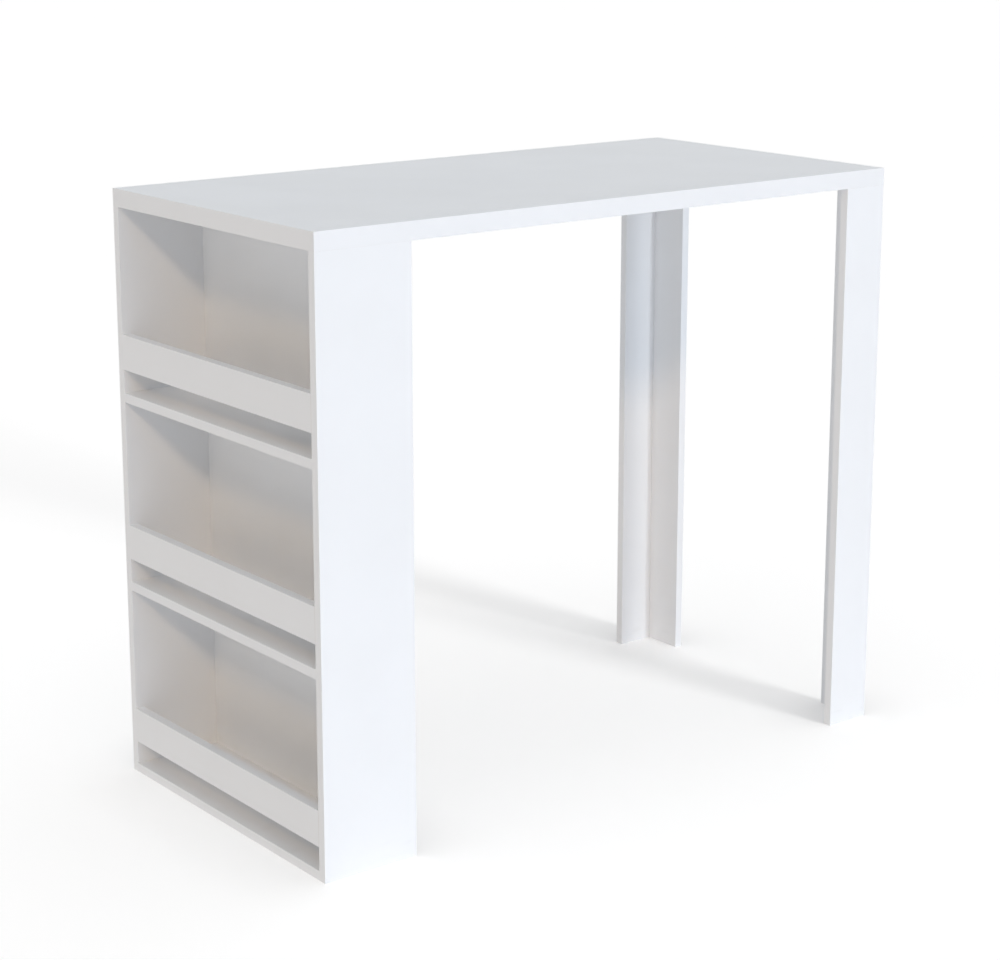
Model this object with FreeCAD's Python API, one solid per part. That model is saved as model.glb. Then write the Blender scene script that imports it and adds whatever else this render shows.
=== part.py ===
import FreeCAD, Part
import math
import os
from collections import defaultdict
from dataclasses import dataclass

from FreeCAD import Placement, Rotation, Vector

# Bar table with an open shelf column at one end and two angle legs at the other.
# Millimetres, Z up. The origin is on the floor at the middle of the footprint.
# X runs from the shelf end to the leg end, and Y from the front to the rear.

# Overall size
TABLE_LENGTH = 1200.0
TABLE_DEPTH = 600.0
TABLE_HEIGHT = 1020.0

# Boards, and the edging glued to every edge that shows
TOP_THICKNESS = 30.0
BOARD = 16.0
EDGING = 1.0
EDGING_ARRIS = 0.2

# Shelf column: equal bays, each with a shelf and a retaining rail above it
COLUMN_DEPTH = 175.0
BAYS = ("bottom", "middle", "upper")
RAIL_HEIGHT = 60.0
RAIL_GAP = 40.0

# Angle legs: the face board covers the edge of the side board
LEG_FACE_WIDTH = 90.0
LEG_SIDE_WIDTH = 80.0

# Tongue glued into the corner of each leg, in grooves that stop short of the ends
TONGUE_THICKNESS = 4.0
TONGUE_WIDTH = 14.0
TONGUE_STOP = 45.0

# Fits: side clearance, room for glue at a blind end, and how far cutters overrun
FIT = 0.1
GLUE_GAP = 0.5
OVERRUN = 2.0

# Flats that stand for the round of a hidden fastener and of its hole, in fours so that
# they line up however the fastener is turned
ROUND_FLATS = 12

# Fluted dowels, and the board that is left under a hole drilled into its face
DOWEL_DIAMETER = 8.0
DOWEL_LENGTH = 30.0
DOWEL_FLUTE_DEPTH = 0.6
BLIND_FLOOR = 5.0

# Cam locks: a cam let into one board grips the head of a bolt screwed into the other
CAM_DIAMETER = 15.0
CAM_SETBACK = 24.0
CAM_FLOOR = 3.5
CAM_RECESS = 0.5
CAM_LIP = 1.9
CAM_CROSS_LENGTH = 8.0
CAM_CROSS_WIDTH = 1.6
CAM_CROSS_DEPTH = 2.4
BOLT_THREAD_DIAMETER = 5.0
BOLT_SHANK_DIAMETER = 6.0
BOLT_NECK_DIAMETER = 4.2
BOLT_HEAD_DIAMETER = 6.6
BOLT_HEAD_REACH = 2.6
BOLT_BORE_DIAMETER = 8.0
COVER_DIAMETER = 20.0
COVER_THICKNESS = 0.5

# Places of the fixings, measured from the edge of the board that they stand in
SHELF_FIXING_INSET = 48.0
RAIL_DOWEL_PITCH = 32.0
CHEEK_CAM_INSET = 34.0
BACK_DOWEL_INSET = 84.0
LEG_FIXING_INSET = 22.0

# Planes and sizes that follow
SHELF_END = -TABLE_LENGTH / 2
LEG_END = TABLE_LENGTH / 2
FRONT = -TABLE_DEPTH / 2
REAR = TABLE_DEPTH / 2
TOP_UNDERSIDE = TABLE_HEIGHT - TOP_THICKNESS
BAY_PITCH = TOP_UNDERSIDE / len(BAYS)
COLUMN_KNEE_SIDE = SHELF_END + COLUMN_DEPTH
SHELF_REAR_EDGE = COLUMN_KNEE_SIDE - BOARD
FRONT_CHEEK_INSIDE = FRONT + BOARD
REAR_CHEEK_INSIDE = REAR - BOARD
FACE_BORE_DEPTH = BOARD - BLIND_FLOOR
EDGE_BORE_DEPTH = DOWEL_LENGTH - FACE_BORE_DEPTH + 2 * GLUE_GAP
CAM_BORE_DEPTH = BOARD - CAM_FLOOR

# Directions
ALONG = Vector(1, 0, 0)
REARWARD = Vector(0, 1, 0)
UP = Vector(0, 0, 1)


@dataclass(frozen=True)
class Fixing:
    """A dowel or cam lock where the edge of one board meets the face of another.

    at is on that face, at the middle of the edge board's thickness. inward points from the
    face into the edge board, and opens to the side that a cam is put in from.
    """

    at: Vector
    inward: Vector
    face_board: str
    edge_board: str
    opens: Vector = None


def box(low, high):
    """A block between its lowest and highest corners."""
    size = high - low
    return Part.makeBox(size.x, size.y, size.z, low)


def closed_face(points):
    """A flat face inside a closed outline."""
    return Part.Face(Part.makePolygon(points + points[:1]))


def ring(radii, height):
    """Corners round the Z axis, whose radii are taken from the list in turn."""
    corners = []
    for step in range(ROUND_FLATS):
        angle = 2 * math.pi * step / ROUND_FLATS
        reach = radii[step % len(radii)]
        corners.append(Vector(reach * math.cos(angle), reach * math.sin(angle), height))
    return corners


def rod(diameter, start, end, end_diameter=None):
    """A straight or tapered rod along Z."""
    ends = ((diameter, start), (end_diameter or diameter, end))
    rings = [ring([size / 2], height) for size, height in ends]
    return Part.makeLoft([Part.makePolygon(points + points[:1]) for points in rings], True, True)


def set_at(shape, at, z_axis, x_axis):
    """A copy of shape with its own origin and axes moved to those given."""
    copy = shape.copy()
    copy.Placement = Placement(at, Rotation(x_axis, z_axis.cross(x_axis), z_axis, "ZXY"))
    return copy


def square_to(direction):
    """Any direction at right angles to one of the three main directions."""
    return Vector(direction.y, direction.z, direction.x)


def bore(start, direction, diameter, depth):
    """A round cutter that goes depth into a board, and overruns the face that it starts from."""
    return set_at(rod(diameter, -OVERRUN, depth), start, direction, square_to(direction))


def edge_strip(start, out, across, run):
    """An edging strip with both outer arrises taken off.

    start is a corner of the board edge, out points away from it, and across and run are the
    thickness and the length of that edge.
    """
    arris = across * (EDGING_ARRIS / across.Length)
    shoulder = out * (EDGING - EDGING_ARRIS)
    outer = out * EDGING
    points = [
        start,
        start + across,
        start + across + shoulder,
        start + across - arris + outer,
        start + arris + outer,
        start + shoulder,
    ]
    return closed_face(points).extrude(run)


def bay_floor(bay):
    """Height of the underside of a bay's shelf."""
    return BAYS.index(bay) * BAY_PITCH


def rail_underside(bay):
    """Height of the underside of a bay's rail."""
    return bay_floor(bay) + BOARD + RAIL_GAP


def column_sides():
    """Both cheeks, with the plane of their inner face and the direction into the column."""
    return (
        ("front_cheek", FRONT_CHEEK_INSIDE, REARWARD),
        ("rear_cheek", REAR_CHEEK_INSIDE, -REARWARD),
    )


def leg_sides():
    """Both legs, with the plane of their outer face and the direction towards the other leg."""
    return (("front_leg", FRONT, REARWARD), ("rear_leg", REAR, -REARWARD))


def table_top():
    """The top's core and the four strips round it, the long ones running through."""
    low = Vector(SHELF_END, FRONT, TOP_UNDERSIDE)
    core_low = low + (ALONG + REARWARD) * EDGING
    core_high = Vector(LEG_END - EDGING, REAR - EDGING, TABLE_HEIGHT)
    across = UP * TOP_THICKNESS
    long_run = ALONG * TABLE_LENGTH
    short_run = REARWARD * (TABLE_DEPTH - 2 * EDGING)
    strips = [
        edge_strip(Vector(SHELF_END, core_low.y, low.z), -REARWARD, across, long_run),
        edge_strip(Vector(SHELF_END, core_high.y, low.z), REARWARD, across, long_run),
        edge_strip(core_low, -ALONG, across, short_run),
        edge_strip(Vector(core_high.x, core_low.y, low.z), ALONG, across, short_run),
    ]
    return {"table_top": box(core_low, core_high)}, {"table_top_edging": strips}


def column_cheeks():
    """The two upright sides of the column, edged on both upright edges."""
    boards = {}
    edging = {}
    run = UP * TOP_UNDERSIDE
    for name, inside, inward in column_sides():
        near = min(inside, inside - inward.y * BOARD)
        low = Vector(SHELF_END + EDGING, near, 0)
        high = Vector(COLUMN_KNEE_SIDE - EDGING, near + BOARD, TOP_UNDERSIDE)
        boards[name] = box(low, high)
        edging[name + "_edging"] = [
            edge_strip(low, -ALONG, REARWARD * BOARD, run),
            edge_strip(Vector(high.x, near, 0), ALONG, REARWARD * BOARD, run),
        ]
    return boards, edging


def column_back_panel():
    """The upright panel between the cheeks that closes the column towards the knees."""
    low = Vector(SHELF_REAR_EDGE, FRONT_CHEEK_INSIDE, 0)
    high = Vector(COLUMN_KNEE_SIDE, REAR_CHEEK_INSIDE, TOP_UNDERSIDE)
    return {"column_back_panel": box(low, high)}, {}


def column_shelves():
    """A shelf for each bay, edged along its open end."""
    boards = {}
    edging = {}
    width = REAR_CHEEK_INSIDE - FRONT_CHEEK_INSIDE
    for bay in BAYS:
        low = Vector(SHELF_END + EDGING, FRONT_CHEEK_INSIDE, bay_floor(bay))
        high = Vector(SHELF_REAR_EDGE, REAR_CHEEK_INSIDE, bay_floor(bay) + BOARD)
        boards[bay + "_shelf"] = box(low, high)
        strip = edge_strip(low, -ALONG, UP * BOARD, REARWARD * width)
        edging[bay + "_shelf_edging"] = [strip]
    return boards, edging


def column_rails():
    """A rail across the open end of each bay, edged along its top and underside."""
    boards = {}
    edging = {}
    across = ALONG * BOARD
    run = REARWARD * (REAR_CHEEK_INSIDE - FRONT_CHEEK_INSIDE)
    for bay in BAYS:
        underside = rail_underside(bay)
        low = Vector(SHELF_END, FRONT_CHEEK_INSIDE, underside + EDGING)
        high = Vector(SHELF_END + BOARD, REAR_CHEEK_INSIDE, underside + RAIL_HEIGHT - EDGING)
        boards[bay + "_rail"] = box(low, high)
        edging[bay + "_rail_edging"] = [
            edge_strip(low, -UP, across, run),
            edge_strip(Vector(low.x, low.y, high.z), UP, across, run),
        ]
    return boards, edging


def legs():
    """Both angle legs: a face board edged on both sides and a side board edged on its free one."""
    boards = {}
    edging = {}
    run = UP * TOP_UNDERSIDE
    face_free_edge = LEG_END - LEG_FACE_WIDTH
    for name, outside, inward in leg_sides():
        inside = outside + inward.y * BOARD
        free_edge = inside + inward.y * LEG_SIDE_WIDTH
        side_end = free_edge - inward.y * EDGING
        face_low = Vector(face_free_edge + EDGING, min(outside, inside), 0)
        face_high = Vector(LEG_END - EDGING, max(outside, inside), TOP_UNDERSIDE)
        side_low = Vector(LEG_END - BOARD, min(inside, side_end), 0)
        side_high = Vector(LEG_END, max(inside, side_end), TOP_UNDERSIDE)
        boards[name + "_face_board"] = box(face_low, face_high)
        boards[name + "_side_board"] = box(side_low, side_high)
        edging[name + "_edging"] = [
            edge_strip(face_low, -ALONG, REARWARD * BOARD, run),
            edge_strip(Vector(face_high.x, face_low.y, 0), ALONG, REARWARD * BOARD, run),
            edge_strip(Vector(side_low.x, side_end, 0), inward, ALONG * BOARD, run),
        ]
    return boards, edging


def tongue(middle, half_width, thickness, stop):
    """A tongue, or the groove for it, across a leg's corner and stopped short of both ends."""
    half = Vector(thickness / 2, half_width, 0)
    low = Vector(middle.x, middle.y, stop) - half
    high = Vector(middle.x, middle.y, TOP_UNDERSIDE - stop) + half
    return box(low, high)


def leg_tongues(cutters):
    """The tongue of each leg, with its grooves added to the cutters of both boards."""
    tongues = {}
    for name, outside, inward in leg_sides():
        middle = Vector(LEG_END - BOARD / 2, outside + inward.y * BOARD, 0)
        half = TONGUE_WIDTH / 2
        groove_half = half + GLUE_GAP
        groove_thickness = TONGUE_THICKNESS + 2 * FIT
        groove = tongue(middle, groove_half, groove_thickness, TONGUE_STOP - GLUE_GAP)
        cutters[name + "_face_board"].append(groove)
        cutters[name + "_side_board"].append(groove)
        tongues[name + "_tongue"] = [tongue(middle, half, TONGUE_THICKNESS, TONGUE_STOP)]
    return tongues


def shelf_fixings():
    """A cam lock near the open end and a dowel near the back panel, at both ends of each shelf."""
    cams = []
    dowels = []
    for bay in BAYS:
        middle = bay_floor(bay) + BOARD / 2
        for cheek, inside, inward in column_sides():
            cam_at = Vector(SHELF_END + SHELF_FIXING_INSET, inside, middle)
            dowel_at = Vector(SHELF_REAR_EDGE - SHELF_FIXING_INSET, inside, middle)
            cams.append(Fixing(cam_at, inward, cheek, bay + "_shelf", -UP))
            dowels.append(Fixing(dowel_at, inward, cheek, bay + "_shelf"))
    return cams, dowels


def rail_dowels():
    """Two dowels in each end of each rail."""
    dowels = []
    for bay in BAYS:
        middle = rail_underside(bay) + RAIL_HEIGHT / 2
        for cheek, inside, inward in column_sides():
            for side in (-1, 1):
                height = middle + side * RAIL_DOWEL_PITCH / 2
                at = Vector(SHELF_END + BOARD / 2, inside, height)
                dowels.append(Fixing(at, inward, cheek, bay + "_rail"))
    return dowels


def back_panel_dowels():
    """A dowel in each side of the back panel, halfway up each bay."""
    dowels = []
    for bay in BAYS:
        for cheek, inside, inward in column_sides():
            at = Vector(COLUMN_KNEE_SIDE - BOARD / 2, inside, bay_floor(bay) + BAY_PITCH / 2)
            dowels.append(Fixing(at, inward, cheek, "column_back_panel"))
    return dowels


def column_top_fixings():
    """What holds the top to the column: a cam lock and a dowel in each cheek, one cam lock in
    the middle of the back panel and a dowel towards each side of it."""
    cams = []
    dowels = []
    panel = "column_back_panel"
    panel_middle = COLUMN_KNEE_SIDE - BOARD / 2
    for cheek, inside, inward in column_sides():
        middle = inside - inward.y * BOARD / 2
        cam_at = Vector(SHELF_REAR_EDGE - CHEEK_CAM_INSET, middle, TOP_UNDERSIDE)
        dowel_at = Vector(SHELF_END + SHELF_FIXING_INSET, middle, TOP_UNDERSIDE)
        panel_at = Vector(panel_middle, inside + inward.y * BACK_DOWEL_INSET, TOP_UNDERSIDE)
        cams.append(Fixing(cam_at, -UP, "table_top", cheek, inward))
        dowels.append(Fixing(dowel_at, -UP, "table_top", cheek))
        dowels.append(Fixing(panel_at, -UP, "table_top", panel))
    cams.append(Fixing(Vector(panel_middle, 0, TOP_UNDERSIDE), -UP, "table_top", panel, ALONG))
    return cams, dowels


def leg_fixings():
    """A cam lock and a dowel in the upper end of each leg board."""
    cams = []
    dowels = []
    for name, outside, inward in leg_sides():
        face_board = name + "_face_board"
        side_board = name + "_side_board"
        face_middle = outside + inward.y * BOARD / 2
        inside = outside + inward.y * BOARD
        side_middle = LEG_END - BOARD / 2
        near = inside + inward.y * LEG_FIXING_INSET
        far = inside + inward.y * (LEG_SIDE_WIDTH - LEG_FIXING_INSET)
        face_cam = Vector(LEG_END - LEG_FACE_WIDTH + LEG_FIXING_INSET, face_middle, TOP_UNDERSIDE)
        face_dowel = Vector(LEG_END - LEG_FIXING_INSET, face_middle, TOP_UNDERSIDE)
        side_cam = Vector(side_middle, far, TOP_UNDERSIDE)
        side_dowel = Vector(side_middle, near, TOP_UNDERSIDE)
        cams.append(Fixing(face_cam, -UP, "table_top", face_board, inward))
        cams.append(Fixing(side_cam, -UP, "table_top", side_board, -ALONG))
        dowels.append(Fixing(face_dowel, -UP, "table_top", face_board))
        dowels.append(Fixing(side_dowel, -UP, "table_top", side_board))
    return cams, dowels


def dowel():
    """A fluted dowel along Z, with the joint's face at its origin."""
    ridge = DOWEL_DIAMETER / 2 - FIT
    outline = ring([ridge, ridge - DOWEL_FLUTE_DEPTH], GLUE_GAP - FACE_BORE_DEPTH)
    return closed_face(outline).extrude(UP * DOWEL_LENGTH)


def cam_bolt():
    """A bolt along Z: its thread is below the joint's face, its shank seats on that face and
    its flared head lies in the middle of the cam."""
    shank_end = CAM_SETBACK - CAM_DIAMETER / 2
    head_start = CAM_SETBACK - CAM_LIP + FIT
    head_end = CAM_SETBACK + BOLT_HEAD_REACH
    thread = rod(BOLT_THREAD_DIAMETER - 2 * FIT, GLUE_GAP - FACE_BORE_DEPTH, 0)
    shank = rod(BOLT_SHANK_DIAMETER, 0, shank_end)
    neck = rod(BOLT_NECK_DIAMETER, shank_end, head_start)
    head = rod(BOLT_NECK_DIAMETER, head_start, head_end, BOLT_HEAD_DIAMETER)
    return thread.multiFuse([shank, neck, head]).Solids[0]


def cam():
    """A cam with its axis along Z and its bolt along X, the bolt's axis through the origin.

    The mouth is as wide as the bolt's neck, so the lip beside it holds the bolt's head.
    """
    top = BOARD / 2 - CAM_RECESS
    body = rod(CAM_DIAMETER - 2 * FIT, BOARD / 2 - CAM_BORE_DEPTH, top)
    head_half = BOLT_HEAD_DIAMETER / 2 + FIT
    neck_half = BOLT_NECK_DIAMETER / 2 + FIT
    pocket = box(
        Vector(-CAM_LIP, -head_half, -head_half),
        Vector(BOLT_HEAD_REACH + FIT, head_half, head_half),
    )
    mouth = box(
        Vector(-CAM_DIAMETER / 2, -neck_half, -head_half),
        Vector(0, neck_half, head_half),
    )
    reach = CAM_CROSS_LENGTH / 2
    slot_half = CAM_CROSS_WIDTH / 2
    slot_floor = top - CAM_CROSS_DEPTH
    past_top = top + OVERRUN
    cross = [
        box(Vector(-reach, -slot_half, slot_floor), Vector(reach, slot_half, past_top)),
        box(Vector(-slot_half, -reach, slot_floor), Vector(slot_half, reach, past_top)),
    ]
    return body.cut([pocket, mouth] + cross).Solids[0]


def cover():
    """A thin round cover that sticks to the board over a cam, in the cam's own axes."""
    return Part.makeCylinder(COVER_DIAMETER / 2, COVER_THICKNESS, Vector(0, 0, BOARD / 2))


def drill_dowels(dowels, cutters):
    """Add the holes of each dowel to the cutters of both boards."""
    for fixing in dowels:
        face_hole = bore(fixing.at, -fixing.inward, DOWEL_DIAMETER, FACE_BORE_DEPTH)
        edge_hole = bore(fixing.at, fixing.inward, DOWEL_DIAMETER, EDGE_BORE_DEPTH)
        cutters[fixing.face_board].append(face_hole)
        cutters[fixing.edge_board].append(edge_hole)


def drill_cams(cams, cutters):
    """Add the bolt's holes and the cam's bore to the cutters of both boards."""
    for fixing in cams:
        centre = fixing.at + fixing.inward * CAM_SETBACK
        bolt_hole = bore(fixing.at, -fixing.inward, BOLT_THREAD_DIAMETER, FACE_BORE_DEPTH)
        bolt_reach = CAM_SETBACK + BOLT_HEAD_REACH + FIT
        shank_hole = bore(fixing.at, fixing.inward, BOLT_BORE_DIAMETER, bolt_reach)
        cam_hole = bore(
            centre + fixing.opens * (BOARD / 2), -fixing.opens, CAM_DIAMETER, CAM_BORE_DEPTH
        )
        cutters[fixing.face_board].append(bolt_hole)
        cutters[fixing.edge_board].extend([shank_hole, cam_hole])


def set_dowels(dowels):
    """A dowel in each of its places."""
    pattern = dowel()
    return [set_at(pattern, fixing.at, fixing.inward, square_to(fixing.inward)) for fixing in dowels]


def set_bolts(cams):
    """A bolt for each cam lock."""
    pattern = cam_bolt()
    return [set_at(pattern, fixing.at, fixing.inward, square_to(fixing.inward)) for fixing in cams]


def set_over_bolts(pattern, cams):
    """A cam or cover for each cam lock."""
    return [
        set_at(pattern, fixing.at + fixing.inward * CAM_SETBACK, fixing.opens, fixing.inward)
        for fixing in cams
    ]


def off_the_floor(cams):
    """The cam locks that have room for a cover, which the shelf on the floor has not."""
    return [fixing for fixing in cams if fixing.edge_board != BAYS[0] + "_shelf"]


def fasteners(cutters):
    """Every fastener by node, with its holes added to the boards' cutters."""
    nodes = {"rail_dowels": set_dowels(rail_dowels())}
    nodes["back_panel_dowels"] = set_dowels(back_panel_dowels())
    drill_dowels(rail_dowels() + back_panel_dowels(), cutters)
    groups = (
        ("shelf", shelf_fixings()),
        ("column_top", column_top_fixings()),
        ("leg_top", leg_fixings()),
    )
    for name, (cams, dowels) in groups:
        drill_cams(cams, cutters)
        drill_dowels(dowels, cutters)
        nodes[name + "_cams"] = set_over_bolts(cam(), cams)
        nodes[name + "_cam_bolts"] = set_bolts(cams)
        nodes[name + "_cam_covers"] = set_over_bolts(cover(), off_the_floor(cams))
        nodes[name + "_dowels"] = set_dowels(dowels)
    return nodes


def table():
    """Every node of the table, by name."""
    boards = {}
    nodes = {}
    for make in (table_top, column_cheeks, column_back_panel, column_shelves, column_rails, legs):
        made, edging = make()
        boards.update(made)
        nodes.update(edging)
    cutters = defaultdict(list)
    nodes.update(leg_tongues(cutters))
    nodes.update(fasteners(cutters))
    for name, board in boards.items():
        nodes[name] = board.cut(cutters[name]).Solids
    return nodes


os.makedirs("parts", exist_ok=True)
for node, solids in table().items():
    Part.makeCompound(solids).exportStep("parts/" + node + ".step")
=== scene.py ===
"""Looks of the white bar table with shelves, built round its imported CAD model.

Every board, edging strip and fastener keeps its CAD mesh and is dressed here in a procedural
finish. The studio and the camera follow the photograph. Lengths are in metres, in the row frame:
X runs from the shelf end to the leg end, Y from the front to the rear, and Z up from the floor.
"""

from __future__ import annotations

import functools
import logging
import math
from abc import ABC, abstractmethod
from collections.abc import Mapping, Sequence
from dataclasses import dataclass
from enum import Enum
from typing import Any, ClassVar

import bpy
from mathutils import Euler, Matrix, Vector


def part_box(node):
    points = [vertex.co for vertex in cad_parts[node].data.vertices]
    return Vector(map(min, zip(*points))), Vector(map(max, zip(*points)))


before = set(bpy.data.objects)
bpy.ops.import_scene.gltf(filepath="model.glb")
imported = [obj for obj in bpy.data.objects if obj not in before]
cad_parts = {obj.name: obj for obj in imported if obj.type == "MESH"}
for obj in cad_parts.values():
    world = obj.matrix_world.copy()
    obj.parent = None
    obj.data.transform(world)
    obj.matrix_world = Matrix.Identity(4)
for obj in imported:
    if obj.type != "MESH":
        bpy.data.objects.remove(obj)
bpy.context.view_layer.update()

LOG = logging.getLogger("bar_table")
MM = 0.001
MIDDLE = 0.5
QUARTER_TURN = 90.0

Number = int | float
Span = tuple[float, float]
Triple = tuple[float, float, float]
Colour = tuple[float, float, float]

WHITE: Colour = (1.0, 1.0, 1.0)


class Axis(Enum):
    """A main direction of the table."""

    LENGTH = 0
    DEPTH = 1
    HEIGHT = 2


class Slot(Enum):
    """The record's material slots."""

    BOARD = "white_board"
    EDGING = "white_edging"
    CAM = "zinc_cam"
    BOLT = "plated_steel"
    COVER = "white_cover"
    BEECH = "beech"


class Linking(Enum):
    """How a lamp takes a group: as all that it deals with, or as all that it leaves out."""

    ONLY = "INCLUDE"
    ALL_BUT = "EXCLUDE"


class Signal:
    """A node's output socket, for use in Python arithmetic."""

    def __init__(self, graph: ShaderGraph, socket: bpy.types.NodeSocket) -> None:
        """Wraps a socket of a graph."""
        self.graph = graph
        self.socket = socket

    def __add__(self, other: Operand) -> Signal:
        """Sum of two values."""
        return self.graph.maths("ADD", self, other)

    def __radd__(self, other: Number) -> Signal:
        """Sum that starts with a number."""
        return self.graph.maths("ADD", other, self)

    def __sub__(self, other: Operand) -> Signal:
        """Difference of two values."""
        return self.graph.maths("SUBTRACT", self, other)

    def __rsub__(self, other: Number) -> Signal:
        """Difference that starts with a number."""
        return self.graph.maths("SUBTRACT", other, self)

    def __mul__(self, other: Operand) -> Signal:
        """Product of two values."""
        return self.graph.maths("MULTIPLY", self, other)

    def __rmul__(self, other: Number) -> Signal:
        """Product that starts with a number."""
        return self.graph.maths("MULTIPLY", other, self)

    def __gt__(self, other: Operand) -> Signal:
        """One where the value is above another, else nought."""
        return self.graph.maths("GREATER_THAN", self, other)

    def __lt__(self, other: Operand) -> Signal:
        """One where the value is below another, else nought."""
        return self.graph.maths("LESS_THAN", self, other)

    def __or__(self, other: Operand) -> Signal:
        """The larger of two values, which joins two masks."""
        return self.graph.maths("MAXIMUM", self, other)

    def __and__(self, other: Operand) -> Signal:
        """The smaller of two values, which keeps what two masks share."""
        return self.graph.maths("MINIMUM", self, other)

    def __abs__(self) -> Signal:
        """The value without its sign."""
        return self.graph.maths("ABSOLUTE", self)

    def swing(self, width: Number) -> Signal:
        """A variation from nought to one, laid evenly about nought and made that wide."""
        return (self - MIDDLE) * width

    def rise(self, span: Span) -> Signal:
        """A soft step from nought at the start of a span to one at its end.

        Args:
            span: The two values. The start may be the larger one.

        Returns:
            The step.
        """
        start, end = span
        first, last = (0.0, 1.0) if start < end else (1.0, 0.0)
        sockets = {
            "Value": self,
            "From Min": min(span),
            "From Max": max(span),
            "To Min": first,
            "To Max": last,
        }
        settings = {"interpolation_type": "SMOOTHSTEP"}
        return self.graph.signal("Result", "ShaderNodeMapRange", settings, sockets)


Operand = Signal | Number
Paint = Signal | Colour


@dataclass(frozen=True)
class Cloud:
    """Make-up of a cloudy variation.

    size is the distance from one cloud to the next, detail the number of finer layers, and stretch
    how many times longer the clouds are along each axis.
    """

    size: float
    detail: float = 2.0
    stretch: Triple = (1.0, 1.0, 1.0)


class ShaderGraph:
    """The nodes of one material or world."""

    MATHS_INPUTS: ClassVar[tuple[str, ...]] = ("Value", "Value_001")

    def __init__(self, owner: bpy.types.Material | bpy.types.World) -> None:
        """Starts an empty graph.

        Args:
            owner: The material or world that the nodes belong to.
        """
        owner.use_nodes = True
        self.tree = owner.node_tree
        self.tree.nodes.clear()

    def node(
        self,
        kind: str,
        settings: Mapping[str, Any] | None = None,
        sockets: Mapping[str, Any] | None = None,
    ) -> bpy.types.Node:
        """Adds a node.

        Args:
            kind: Blender's name for the type of node.
            settings: The node's own properties, which are set first.
            sockets: Values or links of its inputs, by name or identifier.

        Returns:
            The node.
        """
        node = self.tree.nodes.new(kind)
        for name, value in (settings or {}).items():
            setattr(node, name, value)
        for name, value in (sockets or {}).items():
            self.feed(self.find(node.inputs, name), value)
        return node

    def signal(
        self,
        output: str,
        kind: str,
        settings: Mapping[str, Any] | None = None,
        sockets: Mapping[str, Any] | None = None,
    ) -> Signal:
        """Adds a node in the same way, and gives one of its outputs by name or identifier."""
        return Signal(self, self.find(self.node(kind, settings, sockets).outputs, output))

    @staticmethod
    def find(sockets: Sequence[bpy.types.NodeSocket], name: str) -> bpy.types.NodeSocket:
        """The first socket with that identifier, or else with that name."""
        return next((s for s in sockets if s.identifier == name), None) or sockets[name]

    def feed(self, socket: bpy.types.NodeSocket, value: Any) -> None:
        """Links a signal or a node's first output to an input, or sets the input's own value.

        Args:
            socket: The input.
            value: A signal, a shader node, a number, a vector or a colour.
        """
        if isinstance(value, Signal):
            self.tree.links.new(value.socket, socket)
        elif isinstance(value, bpy.types.Node):
            self.tree.links.new(value.outputs[0], socket)
        elif socket.type == "RGBA":
            socket.default_value = (*value, 1.0)
        else:
            socket.default_value = value

    def maths(self, operation: str, *operands: Operand) -> Signal:
        """A Math node on one or two values."""
        sockets = dict(zip(self.MATHS_INPUTS, operands))
        return self.signal("Value", "ShaderNodeMath", {"operation": operation}, sockets)

    def blend(self, share: Operand, first: Paint, second: Paint) -> Signal:
        """The second colour laid over the first, by a share from nought to one."""
        sockets = {"Factor_Float": share, "A_Color": first, "B_Color": second}
        return self.signal("Result_Color", "ShaderNodeMix", {"data_type": "RGBA"}, sockets)

    def mix(self, share: Operand, first: bpy.types.Node, second: bpy.types.Node) -> bpy.types.Node:
        """A Mix Shader node that shows the second shader by share."""
        sockets = {"Fac": share, "Shader": first, "Shader_001": second}
        return self.node("ShaderNodeMixShader", sockets=sockets)

    def parts(self, vector: Signal) -> tuple[Signal, ...]:
        """The three components of a vector."""
        node = self.node("ShaderNodeSeparateXYZ", sockets={"Vector": vector})
        return tuple(Signal(self, socket) for socket in node.outputs)

    def coordinate(self, name: str) -> Signal:
        """One of the texture coordinates that stay with the piece."""
        return self.signal(name, "ShaderNodeTexCoord")

    def noise(self, cloud: Cloud) -> Signal:
        """Cloudy variation over a piece, about one half on average.

        Args:
            cloud: Make-up of the variation.

        Returns:
            The variation, from nought to one.
        """
        factors = tuple(1.0 / (cloud.size * longer) for longer in cloud.stretch)
        place = self.signal(
            "Vector",
            "ShaderNodeVectorMath",
            {"operation": "MULTIPLY"},
            {"Vector": self.coordinate("Object"), "Vector_001": factors},
        )
        sockets = {"Vector": place, "Scale": 1.0, "Detail": cloud.detail}
        return self.signal("Fac", "ShaderNodeTexNoise", sockets=sockets)


@dataclass
class Surface:
    """What a finish gives to its shader.

    colour, roughness and height may vary over the piece, and height is in metres. The rest is the
    same all over.
    """

    colour: Paint
    roughness: Operand
    height: Signal
    metallic: float = 0.0
    index: float = 1.5


class Finish(ABC):
    """A finish of the table: one procedural material, and the record's slot that it stands for."""

    slot: ClassVar[Slot]

    @property
    @abstractmethod
    def title(self) -> str:
        """Name of the finish's material."""

    @abstractmethod
    def surface(self, graph: ShaderGraph) -> Surface:
        """Adds the finish's nodes to a graph and gives what they make."""


@functools.lru_cache(maxsize=None)
def material_of(finish: Finish) -> bpy.types.Material:
    """Makes the material of a finish, once.

    Args:
        finish: The finish to make.

    Returns:
        The material.
    """
    material = bpy.data.materials.new(finish.title)
    graph = ShaderGraph(material)
    surface = finish.surface(graph)
    relief = {"Strength": 1.0, "Distance": 1.0, "Height": surface.height}
    sockets = {
        "Base Color": surface.colour,
        "Roughness": surface.roughness,
        "Metallic": surface.metallic,
        "IOR": surface.index,
        "Normal": graph.node("ShaderNodeBump", sockets=relief),
    }
    shader = graph.node("ShaderNodeBsdfPrincipled", sockets=sockets)
    graph.node("ShaderNodeOutputMaterial", sockets={"Surface": shader})
    return material


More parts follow.
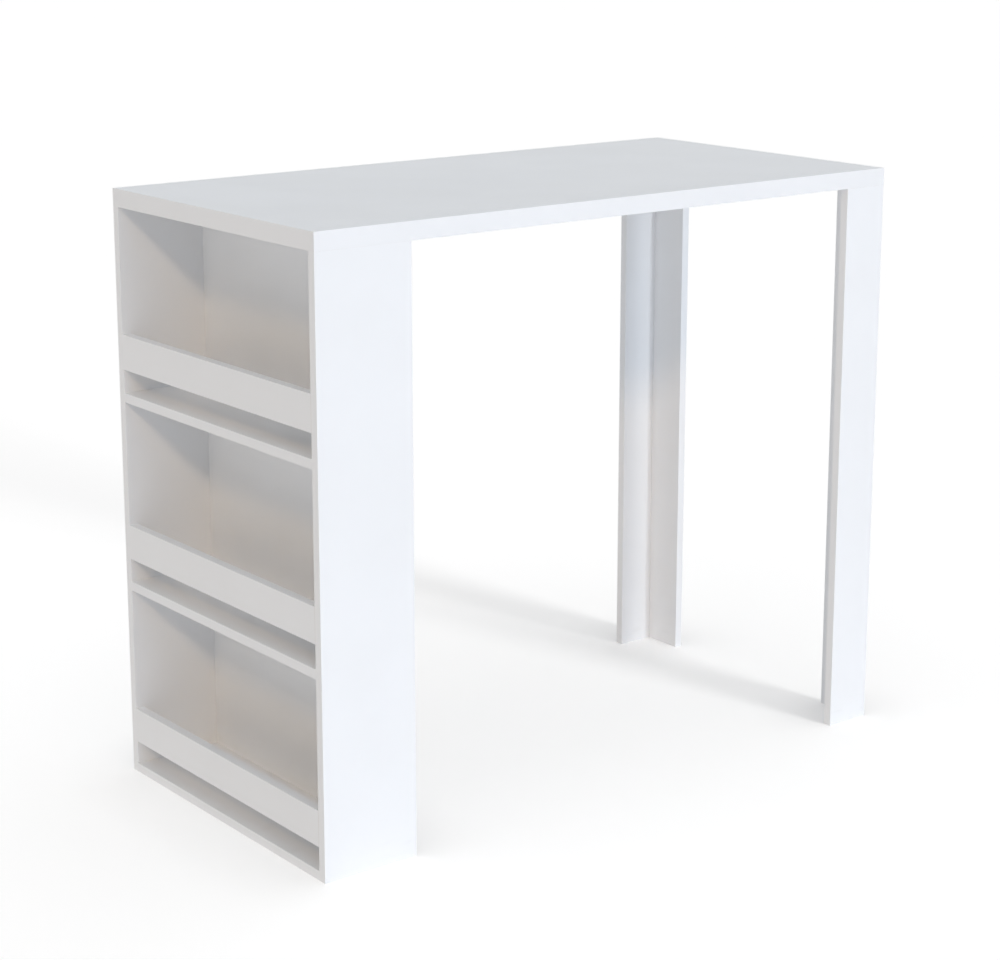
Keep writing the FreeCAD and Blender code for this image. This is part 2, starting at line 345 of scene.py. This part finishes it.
@dataclass(frozen=True)
class Chipboard:
    """The pressed chips inside a board, which show where no paper or edging covers them."""

    glue: Colour = (0.34, 0.24, 0.15)
    chip: Colour = (0.62, 0.48, 0.32)
    chip_size: float = 2.6 * MM
    chip_share: float = 0.8
    fibres: Cloud = Cloud(0.65 * MM)
    fibre_share: float = 0.4
    seam_share: float = 0.5
    roughness: float = 0.92
    relief: float = 0.12 * MM

    def surface(self, graph: ShaderGraph) -> Surface:
        """Chips of uneven tone with dark glue between them.

        Args:
            graph: The graph that takes the nodes.

        Returns:
            The bare chipboard.
        """
        sockets = {"Vector": graph.coordinate("Object"), "Scale": 1.0 / self.chip_size}
        cells = graph.node("ShaderNodeTexVoronoi", sockets=sockets)
        tone = graph.parts(Signal(graph, cells.outputs["Color"]))[0]
        seam = Signal(graph, cells.outputs["Distance"])
        fibres = graph.noise(self.fibres)
        share = tone * self.chip_share + fibres * self.fibre_share - seam * self.seam_share
        colour = graph.blend(share, self.glue, self.chip)
        return Surface(colour, self.roughness, share * self.relief)


@dataclass(frozen=True)
class WhiteBoard(Finish):
    """White melamine paper pressed on both faces of a chipboard.

    face_axis is square to the papered faces. The board's edges and drilled holes are bare.
    """

    slot: ClassVar[Slot] = Slot.BOARD

    face_axis: Axis
    white: Colour = (0.872, 0.876, 0.884)
    drift: Colour = (0.852, 0.855, 0.860)
    rubbed: Colour = (0.66, 0.65, 0.63)
    core: Chipboard = Chipboard()
    roughness: float = 0.42
    pearl: Cloud = Cloud(0.9 * MM, 3.0)
    pearl_share: float = 0.2
    pearl_sheen: float = 0.06
    pearl_relief: float = 0.012 * MM
    press: Cloud = Cloud(160 * MM, 3.0)
    press_rise: Span = (0.3, 0.7)
    press_share: float = 0.8
    wipe: Cloud = Cloud(28 * MM, 4.0, (4.0, 4.0, 1.0))
    wipe_sheen: float = 0.14
    kick: Cloud = Cloud(14 * MM, 4.0, (3.0, 3.0, 1.0))
    kick_rise: Span = (0.52, 0.74)
    kick_share: float = 0.16
    kick_height: float = 60 * MM
    skin_share: float = 0.012
    least_facing: float = 0.7

    @property
    def title(self) -> str:
        """Name of the finish's material."""
        return f"white_board_{self.face_axis.name.lower()}"

    def bare(self, graph: ShaderGraph) -> Signal:
        """Where the paper ends: on the edges, and inside drilled holes.

        Args:
            graph: The graph that takes the nodes.

        Returns:
            One on bare chipboard, and nought on paper.
        """
        axis = self.face_axis.value
        facing = abs(graph.parts(graph.coordinate("Normal"))[axis])
        through = graph.parts(graph.coordinate("Generated"))[axis]
        return (facing < self.least_facing) | ((through & (1 - through)) > self.skin_share)

    def kicks(self, graph: ShaderGraph) -> Signal:
        """Faint rubs near the floor, where shoes and brooms touch the uprights.

        Args:
            graph: The graph that takes the nodes.

        Returns:
            How much the paper is rubbed, from nought to one.
        """
        height = graph.parts(graph.coordinate("Object"))[Axis.HEIGHT.value]
        streaks = graph.noise(self.kick).rise(self.kick_rise)
        return height.rise((self.kick_height, 0.0)) * streaks

    def surface(self, graph: ShaderGraph) -> Surface:
        """Satin white with a fine pearl, slow drifts of tone, and bare chips at the edges.

        Args:
            graph: The graph that takes the nodes.

        Returns:
            The papered board.
        """
        core = self.core.surface(graph)
        bare = self.bare(graph)
        pearl = graph.noise(self.pearl)
        press = graph.noise(self.press).rise(self.press_rise)
        wipe = graph.noise(self.wipe)
        share = press * self.press_share + pearl * self.pearl_share
        paper = graph.blend(share, self.white, self.drift)
        paper = graph.blend(self.kicks(graph) * self.kick_share, paper, self.rubbed)
        sheen = self.roughness + wipe.swing(self.wipe_sheen) + pearl.swing(self.pearl_sheen)
        return Surface(
            graph.blend(bare, paper, core.colour),
            sheen * (1 - bare) + core.roughness * bare,
            pearl * self.pearl_relief * (1 - bare) + core.height * bare,
        )


@dataclass(frozen=True)
class WhiteEdging(Finish):
    """White plastic edging, smoother than the paper and scraped along both arrises.

    The arrises are painted lighter: partly scraped wear, partly a painted highlight.
    """

    slot: ClassVar[Slot] = Slot.EDGING

    white: Colour = (0.868, 0.871, 0.878)
    drift: Colour = (0.846, 0.849, 0.856)
    # The arrises' lighter colour: partly scraped wear, partly a painted highlight
    scraped_and_highlight: Colour = (0.890, 0.893, 0.898)
    roughness: float = 0.36
    scraped_roughness: float = 0.55
    grain: Cloud = Cloud(1.6 * MM, 3.0)
    grain_share: float = 0.2
    grain_sheen: float = 0.12
    grain_relief: float = 0.010 * MM
    batch: Cloud = Cloud(240 * MM)
    batch_rise: Span = (0.3, 0.7)
    batch_share: float = 0.8
    least_facing: float = 0.9

    @property
    def title(self) -> str:
        """Name of the finish's material."""
        return "white_edging"

    def arris(self, graph: ShaderGraph) -> Signal:
        """The slanting faces that the scraper left, where no main direction is square."""
        length, depth, height = (abs(part) for part in graph.parts(graph.coordinate("Normal")))
        return (length | depth | height) < self.least_facing

    def surface(self, graph: ShaderGraph) -> Surface:
        """Satin white with a fine grain along the strip.

        Args:
            graph: The graph that takes the nodes.

        Returns:
            The edging.
        """
        arris = self.arris(graph)
        grain = graph.noise(self.grain)
        batch = graph.noise(self.batch).rise(self.batch_rise)
        share = batch * self.batch_share + grain * self.grain_share
        sheen = self.roughness + grain.swing(self.grain_sheen)
        return Surface(
            # The arrises are painted lighter: partly scraped wear, partly a painted highlight
            graph.blend(arris, graph.blend(share, self.white, self.drift), self.scraped_and_highlight),
            sheen * (1 - arris) + self.scraped_roughness * arris,
            grain * self.grain_relief,
        )


@dataclass(frozen=True)
class CoverPlastic(Finish):
    """Thin white plastic of the covers over the cams."""

    slot: ClassVar[Slot] = Slot.COVER

    white: Colour = (0.862, 0.866, 0.872)
    shade: Colour = (0.836, 0.840, 0.846)
    roughness: float = 0.40
    grain: Cloud = Cloud(0.5 * MM)
    grain_sheen: float = 0.2
    grain_relief: float = 0.016 * MM
    flow: Cloud = Cloud(6 * MM, 3.0)
    flow_rise: Span = (0.3, 0.7)

    @property
    def title(self) -> str:
        """Name of the finish's material."""
        return "white_cover"

    def surface(self, graph: ShaderGraph) -> Surface:
        """Satin white with a moulded grain.

        Args:
            graph: The graph that takes the nodes.

        Returns:
            The plastic.
        """
        grain = graph.noise(self.grain)
        flow = graph.noise(self.flow).rise(self.flow_rise)
        return Surface(
            graph.blend(flow, self.white, self.shade),
            self.roughness + grain.swing(self.grain_sheen),
            grain * self.grain_relief,
        )


@dataclass(frozen=True)
class DullMetal(Finish):
    """A metal fastener: cast or plated, with a grain and a patchy tone."""

    metal: Colour
    patch: Colour
    roughness: float
    grain: Cloud
    grain_relief: float
    grain_sheen: float = 0.3
    patches: Cloud = Cloud(3 * MM, 3.0)
    patch_rise: Span = (0.35, 0.65)

    def surface(self, graph: ShaderGraph) -> Surface:
        """Patchy metal with a fine grain.

        Args:
            graph: The graph that takes the nodes.

        Returns:
            The metal.
        """
        grain = graph.noise(self.grain)
        patches = graph.noise(self.patches).rise(self.patch_rise)
        return Surface(
            graph.blend(patches, self.metal, self.patch),
            self.roughness + grain.swing(self.grain_sheen),
            grain * self.grain_relief,
            metallic=1.0,
        )


@dataclass(frozen=True)
class CastZinc(DullMetal):
    """Die-cast zinc of the cams."""

    slot: ClassVar[Slot] = Slot.CAM

    metal: Colour = (0.60, 0.61, 0.62)
    patch: Colour = (0.48, 0.49, 0.51)
    roughness: float = 0.50
    grain: Cloud = Cloud(0.6 * MM, 4.0)
    grain_relief: float = 0.03 * MM

    @property
    def title(self) -> str:
        """Name of the finish's material."""
        return "zinc_cam"


@dataclass(frozen=True)
class PlatedSteel(DullMetal):
    """Zinc-plated steel of the cam bolts."""

    slot: ClassVar[Slot] = Slot.BOLT

    metal: Colour = (0.70, 0.70, 0.67)
    patch: Colour = (0.63, 0.65, 0.68)
    roughness: float = 0.30
    grain: Cloud = Cloud(0.3 * MM, 4.0)
    grain_relief: float = 0.008 * MM

    @property
    def title(self) -> str:
        """Name of the finish's material."""
        return "plated_steel"


@dataclass(frozen=True)
class BareBeech(Finish):
    """Bare beech, with its grain and its short dark flecks along the piece."""

    slot: ClassVar[Slot] = Slot.BEECH

    grain_axis: Axis
    pale: Colour = (0.74, 0.57, 0.39)
    ring: Colour = (0.62, 0.44, 0.28)
    fleck: Colour = (0.42, 0.27, 0.16)
    roughness: float = 0.68
    ring_size: float = 1.8 * MM
    ring_detail: float = 3.0
    ring_stretch: float = 14.0
    ring_rise: Span = (0.35, 0.65)
    ring_sheen: float = 0.2
    ring_relief: float = 0.025 * MM
    fleck_size: float = 0.35 * MM
    fleck_detail: float = 2.0
    fleck_stretch: float = 7.0
    fleck_rise: Span = (0.60, 0.70)
    fleck_share: float = 0.7
    fleck_relief: float = 0.05 * MM

    @property
    def title(self) -> str:
        """Name of the finish's material."""
        return f"beech_{self.grain_axis.name.lower()}"

    def figure(self, size: float, detail: float, stretch: float) -> Cloud:
        """Clouds that are drawn out along the grain."""
        longer = tuple(stretch if axis is self.grain_axis else 1.0 for axis in Axis)
        return Cloud(size, detail, longer)

    def surface(self, graph: ShaderGraph) -> Surface:
        """Pale rings drawn out along the grain, with flecks and open pores.

        Args:
            graph: The graph that takes the nodes.

        Returns:
            The wood.
        """
        rings = graph.noise(self.figure(self.ring_size, self.ring_detail, self.ring_stretch))
        flecks = graph.noise(self.figure(self.fleck_size, self.fleck_detail, self.fleck_stretch))
        flecks = flecks.rise(self.fleck_rise)
        wood = graph.blend(rings.rise(self.ring_rise), self.pale, self.ring)
        return Surface(
            graph.blend(flecks * self.fleck_share, wood, self.fleck),
            self.roughness + rings.swing(self.ring_sheen),
            rings * self.ring_relief - flecks * self.fleck_relief,
        )


class SubAssembly(ABC):
    """Some of the table's pieces, taken from the frame and dressed together."""

    @abstractmethod
    def sizes(self) -> Mapping[str, Triple]:
        """Length, depth and height that this class says each of its main nodes has."""

    @abstractmethod
    def finishes(self) -> Mapping[str, Finish]:
        """The finish of each of its nodes."""

    def build(self) -> None:
        """Takes the CAD meshes as they are, and says where one isn't the size expected."""
        for node, expected in self.sizes().items():
            low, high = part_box(node)
            if (high - low - Vector(expected)).length > MM:
                LOG.warning("%s measures %s, not %s", node, tuple(high - low), expected)

    def dress(self) -> None:
        """Gives every node its finish."""
        for node, finish in self.finishes().items():
            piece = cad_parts[node]
            piece.data.materials.clear()
            piece.data.materials.append(material_of(finish))
            LOG.info("%s: %s", node, finish.title)


@dataclass
class TableTop(SubAssembly):
    """The thick board over everything, with edging all round."""

    length: float = 1200 * MM
    depth: float = 600 * MM
    thickness: float = 30 * MM
    edging: float = 1 * MM

    def sizes(self) -> Mapping[str, Triple]:
        """Sizes of the board inside its edging, and of the whole top.

        Returns:
            The size of each node.
        """
        inset = 2 * self.edging
        return {
            "table_top": (self.length - inset, self.depth - inset, self.thickness),
            "table_top_edging": (self.length, self.depth, self.thickness),
        }

    def finishes(self) -> Mapping[str, Finish]:
        """White board with white edging."""
        return {"table_top": WhiteBoard(Axis.HEIGHT), "table_top_edging": WhiteEdging()}


@dataclass
class ShelfColumn(SubAssembly):
    """Two cheeks and a back panel, with three shelves and their retaining rails between them."""

    height: float = 990 * MM
    depth: float = 175 * MM
    width: float = 600 * MM
    board: float = 16 * MM
    edging: float = 1 * MM
    rail_height: float = 60 * MM
    bays: tuple[str, ...] = ("bottom", "middle", "upper")
    cheeks: tuple[str, ...] = ("front_cheek", "rear_cheek")

    def sizes(self) -> Mapping[str, Triple]:
        """Sizes of the cheeks with their edging, the back panel, the shelves and the rails.

        Returns:
            The size of each node.
        """
        between = self.width - 2 * self.board
        sizes = {"column_back_panel": (self.board, between, self.height)}
        for cheek in self.cheeks:
            sizes[f"{cheek}_edging"] = (self.depth, self.board, self.height)
        for bay in self.bays:
            sizes[f"{bay}_shelf"] = (self.depth - self.board - self.edging, between, self.board)
            sizes[f"{bay}_rail_edging"] = (self.board, between, self.rail_height)
        return sizes

    def finishes(self) -> Mapping[str, Finish]:
        """White boards, papered on the faces that each of them shows, with white edging.

        Returns:
            The finish of each node.
        """
        finishes: dict[str, Finish] = {"column_back_panel": WhiteBoard(Axis.LENGTH)}
        for cheek in self.cheeks:
            finishes[cheek] = WhiteBoard(Axis.DEPTH)
            finishes[f"{cheek}_edging"] = WhiteEdging()
        for bay in self.bays:
            finishes[f"{bay}_shelf"] = WhiteBoard(Axis.HEIGHT)
            finishes[f"{bay}_rail"] = WhiteBoard(Axis.LENGTH)
            finishes[f"{bay}_shelf_edging"] = WhiteEdging()
            finishes[f"{bay}_rail_edging"] = WhiteEdging()
        return finishes


@dataclass
class AngleLegs(SubAssembly):
    """Two legs, each of a face board and a side board glued to an angle over a tongue."""

    height: float = 990 * MM
    face_width: float = 90 * MM
    depth: float = 96 * MM
    board: float = 16 * MM
    edging: float = 1 * MM
    tongue_stop: float = 45 * MM
    tongue_width: float = 14 * MM
    tongue_thickness: float = 4 * MM
    legs: tuple[str, ...] = ("front_leg", "rear_leg")

    def sizes(self) -> Mapping[str, Triple]:
        """Sizes of the face boards, of each leg's edging as a whole, and of the tongues.

        Returns:
            The size of each node.
        """
        bare_width = self.face_width - 2 * self.edging
        tongue_height = self.height - 2 * self.tongue_stop
        sizes = {}
        for leg in self.legs:
            sizes[f"{leg}_face_board"] = (bare_width, self.board, self.height)
            sizes[f"{leg}_edging"] = (self.face_width, self.depth, self.height)
            sizes[f"{leg}_tongue"] = (self.tongue_thickness, self.tongue_width, tongue_height)
        return sizes

    def finishes(self) -> Mapping[str, Finish]:
        """White boards and edging over a bare beech tongue.

        Returns:
            The finish of each node.
        """
        finishes: dict[str, Finish] = {}
        for leg in self.legs:
            finishes[f"{leg}_face_board"] = WhiteBoard(Axis.DEPTH)
            finishes[f"{leg}_side_board"] = WhiteBoard(Axis.LENGTH)
            finishes[f"{leg}_edging"] = WhiteEdging()
            finishes[f"{leg}_tongue"] = BareBeech(Axis.HEIGHT)
        return finishes


@dataclass
class Joinery(SubAssembly):
    """Cam locks with their covers, and dowels, that hold the boards together."""

    locks: tuple[str, ...] = ("shelf", "column_top", "leg_top")
    lying_dowels: tuple[str, ...] = ("shelf_dowels", "rail_dowels", "back_panel_dowels")
    upright_dowels: tuple[str, ...] = ("column_top_dowels", "leg_top_dowels")

    def sizes(self) -> Mapping[str, Triple]:
        """No size is expected, because each node holds many small fasteners."""
        return {}

    def finishes(self) -> Mapping[str, Finish]:
        """Cast cams, plated bolts, white covers and bare dowels.

        Returns:
            The finish of each node.
        """
        finishes: dict[str, Finish] = {}
        for lock in self.locks:
            finishes[f"{lock}_cams"] = CastZinc()
            finishes[f"{lock}_cam_bolts"] = PlatedSteel()
            finishes[f"{lock}_cam_covers"] = CoverPlastic()
        finishes |= {dowels: BareBeech(Axis.DEPTH) for dowels in self.lying_dowels}
        finishes |= {dowels: BareBeech(Axis.HEIGHT) for dowels in self.upright_dowels}
        return finishes


@dataclass(frozen=True)
class Lamp:
    """A soft studio lamp, far enough away to light the whole set evenly.

    travel is the way its light goes, level how bright it makes a white face square to it, and
    spread the angle that the lamp takes up as the table sees it, in degrees.
    """

    title: str
    travel: Triple
    colour: Colour
    level: float
    spread: float

    def build(self) -> bpy.types.Object:
        """Hangs the lamp.

        Returns:
            The lamp.
        """
        light = bpy.data.lights.new(self.title, "SUN")
        light.color = self.colour
        light.energy = math.pi * self.level
        light.angle = math.radians(self.spread)
        lamp = bpy.data.objects.new(self.title, light)
        lamp.rotation_euler = Vector(self.travel).to_track_quat("-Z", "Y").to_euler()
        bpy.context.scene.collection.objects.link(lamp)
        LOG.info("%s: level %.2f", self.title, self.level)
        return lamp


@dataclass
class Studio:
    """A pale floor that runs out to white, soft lamps and even light from all round.

    The lamps on the table are tinted, so the floor has two white ones of its own. The legs alone
    stop the low one, which draws their shadows back over the floor. floor_glow is the light that
    the floor adds to the table. What is seen of the floor is lifted to white by floor_open where
    it lies open, and less under the table and close to its feet, which is painted shade under the
    table and a painted contact shadow at its feet.
    """

    room: float = 60.0
    floor_colour: Colour = (0.926, 0.920, 0.912)
    floor_glow: Colour = (0.225, 0.235, 0.255)
    # floor_open, floor_shaded and floor_contact_shade paint shade into the seen floor: less lift
    # under the table and at its feet
    floor_open: Colour = (0.518, 0.518, 0.518)
    floor_shaded: Colour = (0.205, 0.205, 0.205)
    floor_contact_shade: Colour = (0.140, 0.140, 0.140)
    shade_reach: float = 1.50
    contact_shade_reach: float = 0.16
    shade_samples: int = 4
    walls: Colour = (0.297, 0.283, 0.265)
    backdrop: Colour = (0.600, 0.590, 0.575)
    backdrop_heading: float = 38.0
    backdrop_edge: Span = (0.0, 0.7)
    ceiling: Colour = (0.070, 0.078, 0.090)
    ceiling_edge: Span = (0.1, 0.8)
    table_lamps: tuple[Lamp, ...] = (
        Lamp("front_lamp", (-0.11, 1.00, -0.23), (0.90, 0.95, 1.00), 0.270, 9.0),
        Lamp("front_fill", (0.00, 1.00, -0.28), (0.51, 0.71, 1.00), 0.226, 50.0),
        Lamp("camera_lamp", (0.96, 1.25, -1.00), (1.00, 0.74, 0.48), 0.192, 6.0),
        Lamp("left_fill", (1.00, 0.08, -0.14), (1.00, 0.94, 0.86), 0.086, 26.0),
        Lamp("overhead_panel", (0.10, 0.20, -1.00), (0.81, 0.91, 1.00), 0.365, 70.0),
    )
    floor_panel: Lamp = Lamp("floor_panel", (0.10, 0.20, -1.00), WHITE, 0.235, 70.0)
    leg_lamp: Lamp = Lamp("leg_lamp", (-0.17, 1.00, -0.25), WHITE, 0.620, 14.0)
    legs: tuple[str, ...] = ("front_leg", "rear_leg")
    leg_parts: tuple[str, ...] = ("face_board", "side_board", "edging")

    @staticmethod
    def seen(graph: ShaderGraph) -> Signal:
        """Picks the rays that show the room itself: straight, mirrored or through glass.

        Args:
            graph: The graph that takes the nodes.

        Returns:
            One for those rays, and nought for the rays that only carry light.
        """
        path = graph.node("ShaderNodeLightPath")
        names = ("Is Camera Ray", "Is Glossy Ray", "Is Transmission Ray")
        straight, mirrored, through = (Signal(graph, path.outputs[name]) for name in names)
        return straight | mirrored | through

    def build_room(self) -> None:
        """Light from the walls, the brighter backdrop and the dim ceiling, all seen as white."""
        world = bpy.data.worlds.new("room")
        bpy.context.scene.world = world
        graph = ShaderGraph(world)
        walls, backdrop, ceiling, white = (
            graph.node("ShaderNodeBackground", sockets={"Color": colour})
            for colour in (self.walls, self.backdrop, self.ceiling, WHITE)
        )
        across, away, up = graph.parts(graph.coordinate("Generated"))
        turn = math.radians(self.backdrop_heading)
        behind = (across * math.sin(turn) + away * math.cos(turn)).rise(self.backdrop_edge)
        light = graph.mix(behind, walls, backdrop)
        light = graph.mix(up.rise(self.ceiling_edge), light, ceiling)
        sockets = {"Surface": graph.mix(self.seen(graph), light, white)}
        graph.node("ShaderNodeOutputWorld", sockets=sockets)

    def openness(self, graph: ShaderGraph, reach: float) -> Signal:
        """One where the floor lies open, and less the more of the table stands within reach. It
        sets where the floor's painted shade falls.

        Args:
            graph: The graph that takes the nodes.
            reach: How far away the table still counts.

        Returns:
            The openness, from nought to one.
        """
        settings = {"samples": self.shade_samples}
        sockets = {"Color": WHITE, "Distance": reach}
        return graph.signal("AO", "ShaderNodeAmbientOcclusion", settings, sockets)

    def floor_material(self) -> bpy.types.Material:
        """Pale paint that keeps the table's shadow, throws light back and is seen as white.

        The seen white is lifted less under the table and close to its feet, which paints shade
        there.

        Returns:
            The material.
        """
        material = bpy.data.materials.new("floor")
        graph = ShaderGraph(material)
        wide = self.openness(graph, self.shade_reach)
        close = self.openness(graph, self.contact_shade_reach)
        # Painted shade: the seen floor's lift gives way under the table, and as a painted contact
        # shadow close to its feet
        lift_with_painted_shade = graph.blend(wide, self.floor_shaded, self.floor_open)
        lift_with_painted_shade = graph.blend(close, self.floor_contact_shade, lift_with_painted_shade)
        paint = graph.node("ShaderNodeBsdfDiffuse", sockets={"Color": self.floor_colour})
        thrown, shown = (
            graph.node("ShaderNodeEmission", sockets={"Color": colour, "Strength": 1.0})
            for colour in (self.floor_glow, lift_with_painted_shade)
        )
        dim, bright = (
            graph.node("ShaderNodeAddShader", sockets={"Shader": paint, "Shader_001": glow})
            for glow in (thrown, shown)
        )
        sockets = {"Surface": graph.mix(self.seen(graph), dim, bright)}
        graph.node("ShaderNodeOutputMaterial", sockets=sockets)
        return material

    def build_floor(self) -> bpy.types.Object:
        """Lays the floor.

        Returns:
            The floor.
        """
        half = self.room / 2
        corners = [(-half, -half, 0.0), (half, -half, 0.0), (half, half, 0.0), (-half, half, 0.0)]
        mesh = bpy.data.meshes.new("floor")
        mesh.from_pydata(corners, [], [range(len(corners))])
        mesh.materials.append(self.floor_material())
        floor = bpy.data.objects.new("floor", mesh)
        bpy.context.scene.collection.objects.link(floor)
        LOG.info("floor: %.0f m square", self.room)
        return floor

    @staticmethod
    def group(
        title: str, objects: Sequence[bpy.types.Object], linking: Linking
    ) -> bpy.types.Collection:
        """Groups objects for a lamp.

        Args:
            title: Name of the group.
            objects: What it holds.
            linking: How a lamp takes it.

        Returns:
            The group.
        """
        group = bpy.data.collections.new(title)
        for each in objects:
            group.objects.link(each)
        for each in group.collection_objects:
            each.light_linking.link_state = linking.value
        return group

    def build_lamps(self, floor: bpy.types.Object) -> None:
        """Hangs the lamps, and says what each of them lights and what stops it.

        Args:
            floor: The floor.
        """
        table = self.group("all_but_floor", [floor], Linking.ALL_BUT)
        for lamp in self.table_lamps:
            lamp.build().light_linking.receiver_collection = table
        floor_alone = self.group("floor_alone", [floor], Linking.ONLY)
        self.floor_panel.build().light_linking.receiver_collection = floor_alone
        leg_links = self.leg_lamp.build().light_linking
        leg_links.receiver_collection = floor_alone
        boards = [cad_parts[f"{leg}_{part}"] for leg in self.legs for part in self.leg_parts]
        leg_links.blocker_collection = self.group("legs", boards, Linking.ONLY)

    def build(self) -> None:
        """Sets up the room, the floor and the lamps."""
        bpy.context.scene.view_settings.view_transform = "Standard"
        self.build_room()
        self.build_lamps(self.build_floor())


@dataclass
class PhotoCamera:
    """The photograph's viewpoint, in front of the shelf end and a little above the top."""

    location: Triple = (-2.4428, -3.1077, 1.5363)
    heading: float = 37.90
    tilt: float = -12.90
    lens: float = 83.81
    sensor: float = 36.0
    shift: float = -0.08

    def build(self) -> None:
        """Sets the camera up and makes it the scene's own."""
        data = bpy.data.cameras.new("photo_camera")
        data.lens = self.lens
        data.sensor_width = self.sensor
        data.shift_y = self.shift
        camera = bpy.data.objects.new("photo_camera", data)
        camera.location = self.location
        pitch = math.radians(QUARTER_TURN + self.tilt)
        camera.rotation_euler = Euler((pitch, 0.0, -math.radians(self.heading)))
        bpy.context.scene.collection.objects.link(camera)
        bpy.context.scene.camera = camera
        LOG.info("camera: %.1f mm lens", self.lens)


def main() -> None:
    """Sets up the studio and the camera, then builds and dresses the table."""
    logging.basicConfig(level=logging.INFO, format="%(name)s: %(message)s")
    Studio().build()
    PhotoCamera().build()
    for assembly in (TableTop(), ShelfColumn(), AngleLegs(), Joinery()):
        assembly.build()
        assembly.dress()


if __name__ == "__main__":
    main()
